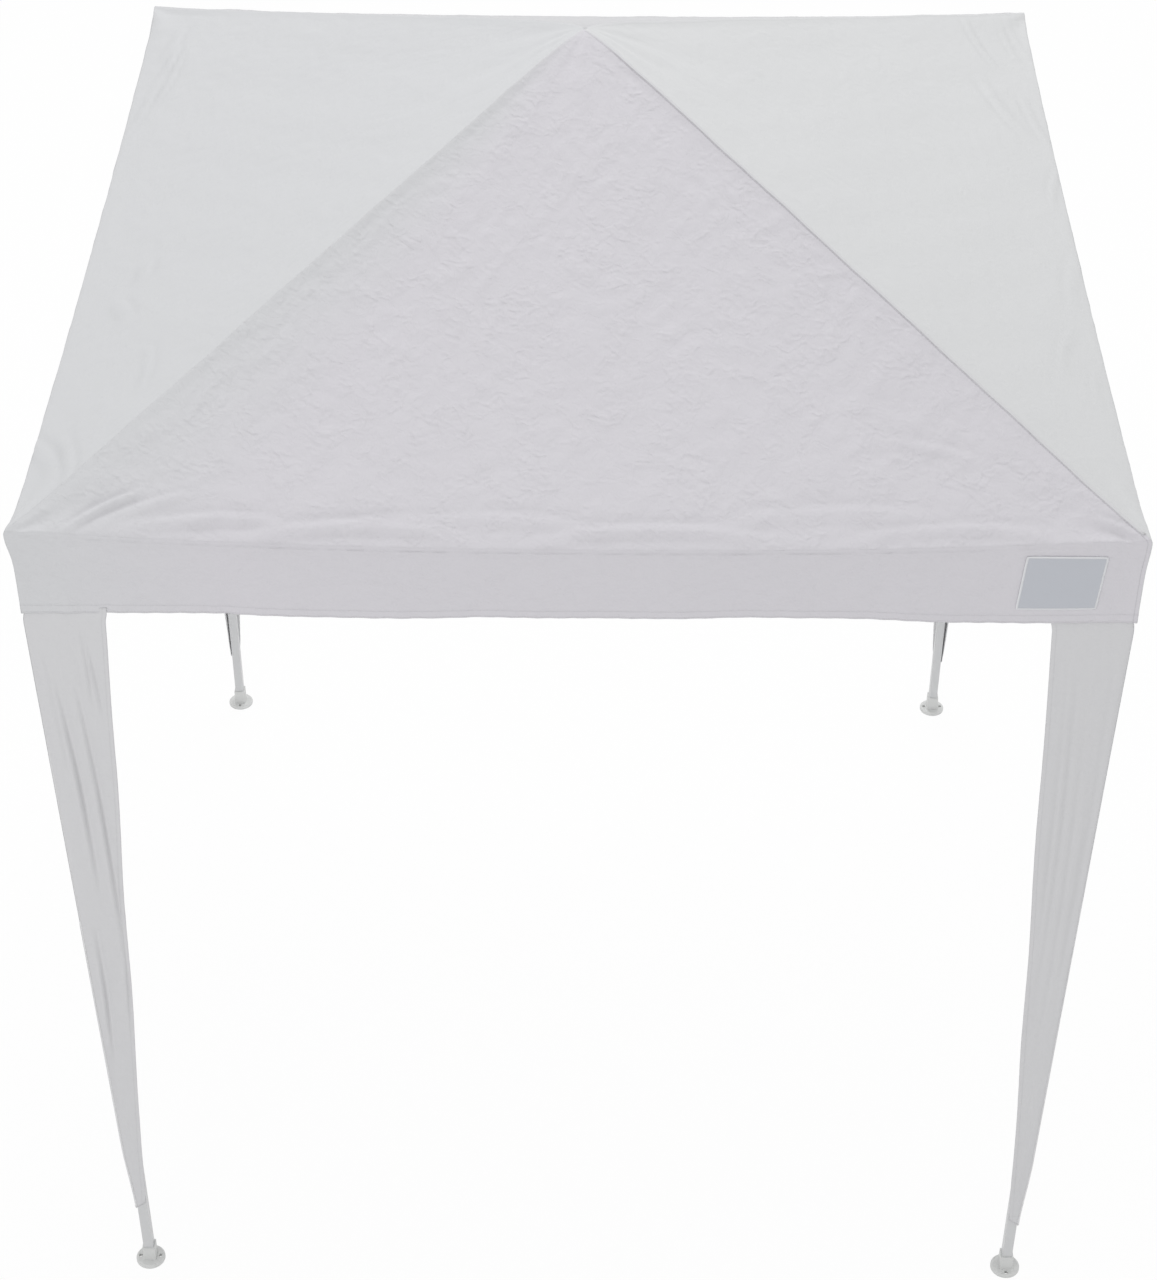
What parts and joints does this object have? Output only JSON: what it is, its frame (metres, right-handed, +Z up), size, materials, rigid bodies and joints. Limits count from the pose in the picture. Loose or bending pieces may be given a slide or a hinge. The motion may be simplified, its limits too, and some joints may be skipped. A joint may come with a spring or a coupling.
{
  "type": "pop up canopy",
  "caption": "Square pop up canopy with a low pyramid cloth roof, valance and leg skirts on a folding scissor frame with telescoping legs.",
  "frame": {"origin": "on the ground under the middle of the canopy, with the frame open", "axes": "+Z up, -Y towards the front side, +X to the right seen from the front"},
  "size_m": [2, 2, 2.5315],
  "materials": {
    "roof_cloth": "matte woven polyester",
    "skirt_cloth": "matte woven polyester",
    "coated_steel": "satin powder coat",
    "inner_steel": "satin powder coat",
    "foot_plastic": "matte moulded",
    "button_steel": "plated",
    "fitting_plastic": "matte moulded"
  },
  "bodies": {
    "hub": {"upper_hub": "fitting_plastic", "peak_pole": "coated_steel", "peak_cap": "fitting_plastic"},
    "front_cross_high_bar": {"front_cross_high_bar": "coated_steel"},
    "front_cross_low_bar": {"front_cross_low_bar": "coated_steel"},
    "front_mid_joint_high": {"front_mid_joint_high": "fitting_plastic"},
    "front_mid_joint_low": {"front_mid_joint_low": "fitting_plastic"},
    "back_cross_high_bar": {"back_cross_high_bar": "coated_steel"},
    "back_cross_low_bar": {"back_cross_low_bar": "coated_steel"},
    "back_mid_joint_high": {"back_mid_joint_high": "fitting_plastic"},
    "back_mid_joint_low": {"back_mid_joint_low": "fitting_plastic"},
    "front_left_low_bar": {"front_left_low_bar": "coated_steel"},
    "front_left_high_bar": {"front_left_high_bar": "coated_steel"},
    "front_left_leg": {"front_left_outer_leg": "coated_steel", "front_left_top_bracket": "fitting_plastic", "front_left_leg_skirt": "skirt_cloth"},
    "front_left_slider": {"front_left_slider": "fitting_plastic"},
    "front_right_low_bar": {"front_right_low_bar": "coated_steel"},
    "front_right_high_bar": {"front_right_high_bar": "coated_steel"},
    "front_right_leg": {"front_right_outer_leg": "coated_steel", "front_right_top_bracket": "fitting_plastic", "front_right_leg_skirt": "skirt_cloth"},
    "front_right_slider": {"front_right_slider": "fitting_plastic"},
    "back_right_low_bar": {"back_right_low_bar": "coated_steel"},
    "back_right_high_bar": {"back_right_high_bar": "coated_steel"},
    "back_right_leg": {"back_right_outer_leg": "coated_steel", "back_right_top_bracket": "fitting_plastic", "back_right_leg_skirt": "skirt_cloth"},
    "back_right_slider": {"back_right_slider": "fitting_plastic"},
    "back_left_low_bar": {"back_left_low_bar": "coated_steel"},
    "back_left_high_bar": {"back_left_high_bar": "coated_steel"},
    "back_left_leg": {"back_left_outer_leg": "coated_steel", "back_left_top_bracket": "fitting_plastic", "back_left_leg_skirt": "skirt_cloth"},
    "back_left_slider": {"back_left_slider": "fitting_plastic"},
    "right_front_high_bar": {"right_front_high_bar": "coated_steel"},
    "right_front_low_bar": {"right_front_low_bar": "coated_steel"},
    "right_back_high_bar": {"right_back_high_bar": "coated_steel"},
    "right_back_low_bar": {"right_back_low_bar": "coated_steel"},
    "left_back_high_bar": {"left_back_high_bar": "coated_steel"},
    "left_back_low_bar": {"left_back_low_bar": "coated_steel"},
    "left_front_high_bar": {"left_front_high_bar": "coated_steel"},
    "left_front_low_bar": {"left_front_low_bar": "coated_steel"},
    "front_left_lower": {"front_left_inner_leg": "inner_steel", "front_left_foot": "foot_plastic"},
    "front_left_button": {"front_left_leg_button": "button_steel"},
    "front_right_lower": {"front_right_inner_leg": "inner_steel", "front_right_foot": "foot_plastic"},
    "front_right_button": {"front_right_leg_button": "button_steel"},
    "back_right_lower": {"back_right_inner_leg": "inner_steel", "back_right_foot": "foot_plastic"},
    "back_right_button": {"back_right_leg_button": "button_steel"},
    "back_left_lower": {"back_left_inner_leg": "inner_steel", "back_left_foot": "foot_plastic"},
    "back_left_button": {"back_left_leg_button": "button_steel"},
    "front_cover": {"front_cover_panel": "roof_cloth"},
    "right_cover": {"right_cover_panel": "roof_cloth"},
    "back_cover": {"back_cover_panel": "roof_cloth"},
    "left_cover": {"left_cover_panel": "roof_cloth"}
  },
  "joints": [
    {"name": "fold", "type": "hinge", "parent": "hub", "child": "front_cross_high_bar", "pos_m": [0, 0, 2.02], "axis": [1, 0, 0], "range_deg": [0, 77.32]},
    {"name": "front_cross_centre_pivot", "type": "hinge", "parent": "front_cross_high_bar", "child": "front_cross_low_bar", "pos_m": [0, -0.4525, 1.959], "axis": [1, 0, 0], "range_deg": [-154.64, 0]},
    {"name": "front_mid_high_pivot", "type": "hinge", "parent": "front_cross_low_bar", "child": "front_mid_joint_high", "pos_m": [0, -0.905, 2.02], "axis": [1, 0, 0], "range_deg": [0, 77.32]},
    {"name": "front_mid_low_pivot", "type": "hinge", "parent": "front_cross_high_bar", "child": "front_mid_joint_low", "pos_m": [0, -0.905, 1.898], "axis": [1, 0, 0], "range_deg": [-77.32, 0]},
    {"name": "back_cross_high_pivot", "type": "hinge", "parent": "hub", "child": "back_cross_high_bar", "pos_m": [0, 0, 2.02], "axis": [1, 0, 0], "range_deg": [-77.32, 0]},
    {"name": "back_cross_centre_pivot", "type": "hinge", "parent": "back_cross_high_bar", "child": "back_cross_low_bar", "pos_m": [0, 0.4525, 1.959], "axis": [1, 0, 0], "range_deg": [0, 154.64]},
    {"name": "back_mid_high_pivot", "type": "hinge", "parent": "back_cross_low_bar", "child": "back_mid_joint_high", "pos_m": [0, 0.905, 2.02], "axis": [1, 0, 0], "range_deg": [-77.32, 0]},
    {"name": "back_mid_low_pivot", "type": "hinge", "parent": "back_cross_high_bar", "child": "back_mid_joint_low", "pos_m": [0, 0.905, 1.898], "axis": [1, 0, 0], "range_deg": [0, 77.32]},
    {"name": "front_left_mid_pivot", "type": "hinge", "parent": "front_mid_joint_high", "child": "front_left_low_bar", "pos_m": [0, -0.953, 2.02], "axis": [0, 1, 0], "range_deg": [-77.32, 0]},
    {"name": "front_left_crossing", "type": "hinge", "parent": "front_left_low_bar", "child": "front_left_high_bar", "pos_m": [-0.4525, -0.953, 1.959], "axis": [0, 1, 0], "range_deg": [0, 154.64]},
    {"name": "front_left_leg_pivot", "type": "hinge", "parent": "front_left_high_bar", "child": "front_left_leg", "pos_m": [-0.905, -0.953, 2.02], "axis": [0, 1, 0], "range_deg": [-77.32, 0]},
    {"name": "front_left_slider_pivot", "type": "hinge", "parent": "front_left_low_bar", "child": "front_left_slider", "pos_m": [-0.905, -0.953, 1.898], "axis": [0, 1, 0], "range_deg": [0, 77.32]},
    {"name": "front_right_mid_pivot", "type": "hinge", "parent": "front_mid_joint_high", "child": "front_right_low_bar", "pos_m": [0, -0.953, 2.02], "axis": [0, 1, 0], "range_deg": [0, 77.32]},
    {"name": "front_right_crossing", "type": "hinge", "parent": "front_right_low_bar", "child": "front_right_high_bar", "pos_m": [0.4525, -0.953, 1.959], "axis": [0, 1, 0], "range_deg": [-154.64, 0]},
    {"name": "front_right_leg_pivot", "type": "hinge", "parent": "front_right_high_bar", "child": "front_right_leg", "pos_m": [0.905, -0.953, 2.02], "axis": [0, 1, 0], "range_deg": [0, 77.32]},
    {"name": "front_right_slider_pivot", "type": "hinge", "parent": "front_right_low_bar", "child": "front_right_slider", "pos_m": [0.905, -0.953, 1.898], "axis": [0, 1, 0], "range_deg": [-77.32, 0]},
    {"name": "back_right_mid_pivot", "type": "hinge", "parent": "back_mid_joint_high", "child": "back_right_low_bar", "pos_m": [0, 0.953, 2.02], "axis": [0, 1, 0], "range_deg": [0, 77.32]},
    {"name": "back_right_crossing", "type": "hinge", "parent": "back_right_low_bar", "child": "back_right_high_bar", "pos_m": [0.4525, 0.953, 1.959], "axis": [0, 1, 0], "range_deg": [-154.64, 0]},
    {"name": "back_right_leg_pivot", "type": "hinge", "parent": "back_right_high_bar", "child": "back_right_leg", "pos_m": [0.905, 0.953, 2.02], "axis": [0, 1, 0], "range_deg": [0, 77.32]},
    {"name": "back_right_slider_pivot", "type": "hinge", "parent": "back_right_low_bar", "child": "back_right_slider", "pos_m": [0.905, 0.953, 1.898], "axis": [0, 1, 0], "range_deg": [-77.32, 0]},
    {"name": "back_left_mid_pivot", "type": "hinge", "parent": "back_mid_joint_high", "child": "back_left_low_bar", "pos_m": [0, 0.953, 2.02], "axis": [0, 1, 0], "range_deg": [-77.32, 0]},
    {"name": "back_left_crossing", "type": "hinge", "parent": "back_left_low_bar", "child": "back_left_high_bar", "pos_m": [-0.4525, 0.953, 1.959], "axis": [0, 1, 0], "range_deg": [0, 154.64]},
    {"name": "back_left_leg_pivot", "type": "hinge", "parent": "back_left_high_bar", "child": "back_left_leg", "pos_m": [-0.905, 0.953, 2.02], "axis": [0, 1, 0], "range_deg": [-77.32, 0]},
    {"name": "back_left_slider_pivot", "type": "hinge", "parent": "back_left_low_bar", "child": "back_left_slider", "pos_m": [-0.905, 0.953, 1.898], "axis": [0, 1, 0], "range_deg": [0, 77.32]},
    {"name": "right_front_bracket_pivot", "type": "hinge", "parent": "front_right_leg", "child": "right_front_high_bar", "pos_m": [0.953, -0.905, 2.02], "axis": [1, 0, 0], "range_deg": [-77.32, 0]},
    {"name": "right_front_crossing", "type": "hinge", "parent": "right_front_high_bar", "child": "right_front_low_bar", "pos_m": [0.953, -0.4525, 1.959], "axis": [1, 0, 0], "range_deg": [0, 154.64]},
    {"name": "right_back_bracket_pivot", "type": "hinge", "parent": "back_right_leg", "child": "right_back_high_bar", "pos_m": [0.953, 0.905, 2.02], "axis": [1, 0, 0], "range_deg": [0, 77.32]},
    {"name": "right_back_crossing", "type": "hinge", "parent": "right_back_high_bar", "child": "right_back_low_bar", "pos_m": [0.953, 0.4525, 1.959], "axis": [1, 0, 0], "range_deg": [-154.64, 0]},
    {"name": "left_back_bracket_pivot", "type": "hinge", "parent": "back_left_leg", "child": "left_back_high_bar", "pos_m": [-0.953, 0.905, 2.02], "axis": [1, 0, 0], "range_deg": [0, 77.32]},
    {"name": "left_back_crossing", "type": "hinge", "parent": "left_back_high_bar", "child": "left_back_low_bar", "pos_m": [-0.953, 0.4525, 1.959], "axis": [1, 0, 0], "range_deg": [-154.64, 0]},
    {"name": "left_front_bracket_pivot", "type": "hinge", "parent": "front_left_leg", "child": "left_front_high_bar", "pos_m": [-0.953, -0.905, 2.02], "axis": [1, 0, 0], "range_deg": [-77.32, 0]},
    {"name": "left_front_crossing", "type": "hinge", "parent": "left_front_high_bar", "child": "left_front_low_bar", "pos_m": [-0.953, -0.4525, 1.959], "axis": [1, 0, 0], "range_deg": [0, 154.64]},
    {"name": "front_left_height", "type": "slide", "parent": "front_left_leg", "child": "front_left_lower", "axis": [0, 0, 1], "range_m": [0, 0.75], "deforming": ["front_left_leg_skirt"]},
    {"name": "front_left_button_press", "type": "slide", "parent": "front_left_lower", "child": "front_left_button", "axis": [-1, 0, 0], "range_m": [0, 0.005], "stiffness_N_per_m": 400},
    {"name": "front_right_height", "type": "slide", "parent": "front_right_leg", "child": "front_right_lower", "axis": [0, 0, 1], "range_m": [0, 0.75], "deforming": ["front_right_leg_skirt"]},
    {"name": "front_right_button_press", "type": "slide", "parent": "front_right_lower", "child": "front_right_button", "axis": [0, -1, 0], "range_m": [0, 0.005], "stiffness_N_per_m": 400},
    {"name": "back_right_height", "type": "slide", "parent": "back_right_leg", "child": "back_right_lower", "axis": [0, 0, 1], "range_m": [0, 0.75], "deforming": ["back_right_leg_skirt"]},
    {"name": "back_right_button_press", "type": "slide", "parent": "back_right_lower", "child": "back_right_button", "axis": [1, 0, 0], "range_m": [0, 0.005], "stiffness_N_per_m": 400},
    {"name": "back_left_height", "type": "slide", "parent": "back_left_leg", "child": "back_left_lower", "axis": [0, 0, 1], "range_m": [0, 0.75], "deforming": ["back_left_leg_skirt"]},
    {"name": "back_left_button_press", "type": "slide", "parent": "back_left_lower", "child": "back_left_button", "axis": [0, 1, 0], "range_m": [0, 0.005], "stiffness_N_per_m": 400},
    {"name": "front_cover_hinge", "type": "hinge", "parent": "hub", "child": "front_cover", "pos_m": [0, 0, 2.534], "axis": [1, 0, 0], "range_deg": [0, 47.11], "deforming": ["front_cover_panel"]},
    {"name": "right_cover_hinge", "type": "hinge", "parent": "hub", "child": "right_cover", "pos_m": [0, 0, 2.534], "axis": [0, 1, 0], "range_deg": [0, 47.11], "deforming": ["right_cover_panel"]},
    {"name": "back_cover_hinge", "type": "hinge", "parent": "hub", "child": "back_cover", "pos_m": [0, 0, 2.534], "axis": [1, 0, 0], "range_deg": [-47.11, 0], "deforming": ["back_cover_panel"]},
    {"name": "left_cover_hinge", "type": "hinge", "parent": "hub", "child": "left_cover", "pos_m": [0, 0, 2.534], "axis": [0, 1, 0], "range_deg": [-47.11, 0], "deforming": ["left_cover_panel"]}
  ],
  "couplings": [
    {"joint": "front_cross_centre_pivot", "follows": "fold", "ratio": -2},
    {"joint": "front_mid_high_pivot", "follows": "fold", "ratio": 1},
    {"joint": "front_mid_low_pivot", "follows": "fold", "ratio": -1},
    {"joint": "back_cross_high_pivot", "follows": "fold", "ratio": -1},
    {"joint": "back_cross_centre_pivot", "follows": "fold", "ratio": 2},
    {"joint": "back_mid_high_pivot", "follows": "fold", "ratio": -1},
    {"joint": "back_mid_low_pivot", "follows": "fold", "ratio": 1},
    {"joint": "front_left_mid_pivot", "follows": "fold", "ratio": -1},
    {"joint": "front_left_crossing", "follows": "fold", "ratio": 2},
    {"joint": "front_left_leg_pivot", "follows": "fold", "ratio": -1},
    {"joint": "front_left_slider_pivot", "follows": "fold", "ratio": 1},
    {"joint": "front_right_mid_pivot", "follows": "fold", "ratio": 1},
    {"joint": "front_right_crossing", "follows": "fold", "ratio": -2},
    {"joint": "front_right_leg_pivot", "follows": "fold", "ratio": 1},
    {"joint": "front_right_slider_pivot", "follows": "fold", "ratio": -1},
    {"joint": "back_right_mid_pivot", "follows": "fold", "ratio": 1},
    {"joint": "back_right_crossing", "follows": "fold", "ratio": -2},
    {"joint": "back_right_leg_pivot", "follows": "fold", "ratio": 1},
    {"joint": "back_right_slider_pivot", "follows": "fold", "ratio": -1},
    {"joint": "back_left_mid_pivot", "follows": "fold", "ratio": -1},
    {"joint": "back_left_crossing", "follows": "fold", "ratio": 2},
    {"joint": "back_left_leg_pivot", "follows": "fold", "ratio": -1},
    {"joint": "back_left_slider_pivot", "follows": "fold", "ratio": 1},
    {"joint": "right_front_bracket_pivot", "follows": "fold", "ratio": -1},
    {"joint": "right_front_crossing", "follows": "fold", "ratio": 2},
    {"joint": "right_back_bracket_pivot", "follows": "fold", "ratio": 1},
    {"joint": "right_back_crossing", "follows": "fold", "ratio": -2},
    {"joint": "left_back_bracket_pivot", "follows": "fold", "ratio": 1},
    {"joint": "left_back_crossing", "follows": "fold", "ratio": -2},
    {"joint": "left_front_bracket_pivot", "follows": "fold", "ratio": -1},
    {"joint": "left_front_crossing", "follows": "fold", "ratio": 2},
    {"joint": "front_cover_hinge", "follows": "fold", "ratio": 0.6093},
    {"joint": "right_cover_hinge", "follows": "fold", "ratio": 0.6093},
    {"joint": "back_cover_hinge", "follows": "fold", "ratio": -0.6093},
    {"joint": "left_cover_hinge", "follows": "fold", "ratio": -0.6093}
  ]
}
